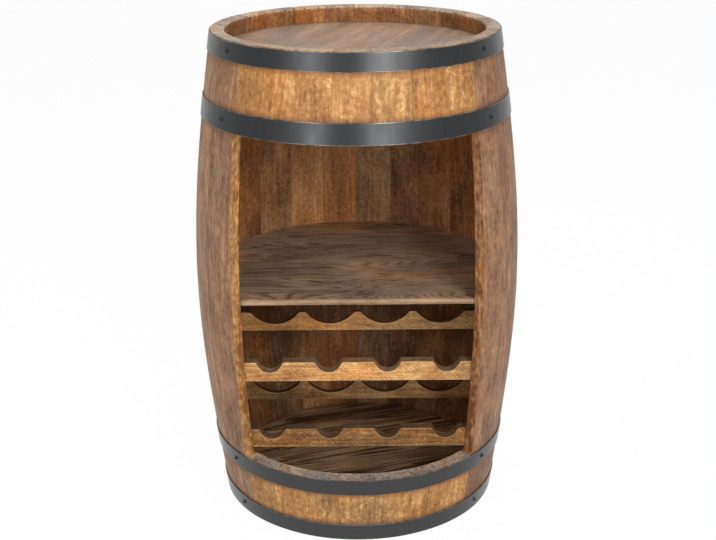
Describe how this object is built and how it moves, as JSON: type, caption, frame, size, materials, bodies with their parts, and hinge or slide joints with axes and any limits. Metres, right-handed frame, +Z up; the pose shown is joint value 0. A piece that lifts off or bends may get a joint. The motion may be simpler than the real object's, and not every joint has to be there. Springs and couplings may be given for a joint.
{
  "type": "barrel bar cabinet",
  "caption": "Coopered wooden barrel stood on end and cut open at the front, with a shelf, notched bottle rails, steel hoops and a recessed top.",
  "frame": {"origin": "on the floor, at the middle of the outline as seen from above; the barrel's axis is 8.8 mm nearer the front", "axes": "+Z up along the barrel, the open front faces -Y, +X to the right of someone facing the cabinet from the front"},
  "size_m": [0.5397, 0.5224, 0.8],
  "materials": {
    "stave_side": "brown stained oak, worn, satin",
    "stave_front": "golden brown stained oak, worn, satin",
    "hoop": "satin black steel strip",
    "screw": "black domed screws",
    "head_top": "greyed brown oak boards, waxed",
    "head_bottom": "dark stained oak boards with bold grain",
    "shelf": "grey brown board with dark wavy grain",
    "cleat": "dark stained strip",
    "rail": "golden stained oak, notched"
  },
  "bodies": {
    "root": {"stave_full_01": "stave_side", "stave_full_02": "stave_side", "stave_full_03": "stave_side", "stave_full_04": "stave_side", "stave_full_05": "stave_side", "stave_full_06": "stave_side", "stave_full_07": "stave_side", "stave_full_08": "stave_side", "stave_full_09": "stave_side", "stave_full_10": "stave_side", "stave_full_11": "stave_side", "stave_full_12": "stave_side", "stave_full_13": "stave_side", "stave_full_14": "stave_side", "stave_full_15": "stave_side", "stave_full_16": "stave_side", "stave_full_17": "stave_side", "stave_full_18": "stave_side", "stave_short_upper_1": "stave_front", "stave_short_upper_2": "stave_front", "stave_short_upper_3": "stave_front", "stave_short_upper_4": "stave_front", "stave_short_upper_5": "stave_front", "stave_short_upper_6": "stave_front", "stave_short_upper_7": "stave_front", "stave_short_lower_1": "stave_front", "stave_short_lower_2": "stave_front", "stave_short_lower_3": "stave_front", "stave_short_lower_4": "stave_front", "stave_short_lower_5": "stave_front", "stave_short_lower_6": "stave_front", "stave_short_lower_7": "stave_front", "hoop_top": "hoop", "hoop_upper": "hoop", "hoop_lower": "hoop", "hoop_bottom": "hoop", "screw_top_left": "screw", "screw_top_right": "screw", "screw_top_back": "screw", "screw_upper_left": "screw", "screw_upper_right": "screw", "screw_upper_back": "screw", "screw_lower_left": "screw", "screw_lower_right": "screw", "screw_lower_back": "screw", "screw_bottom_left": "screw", "screw_bottom_right": "screw", "screw_bottom_back": "screw", "head_top": "head_top", "head_bottom": "head_bottom", "shelf": "shelf", "shelf_cleat_left": "cleat", "shelf_cleat_right": "cleat", "shelf_cleat_back": "cleat", "rail_front_upper": "rail", "rail_front_lower": "rail", "rail_rear_upper": "rail", "rail_rear_lower": "rail"}
  },
  "joints": []
}
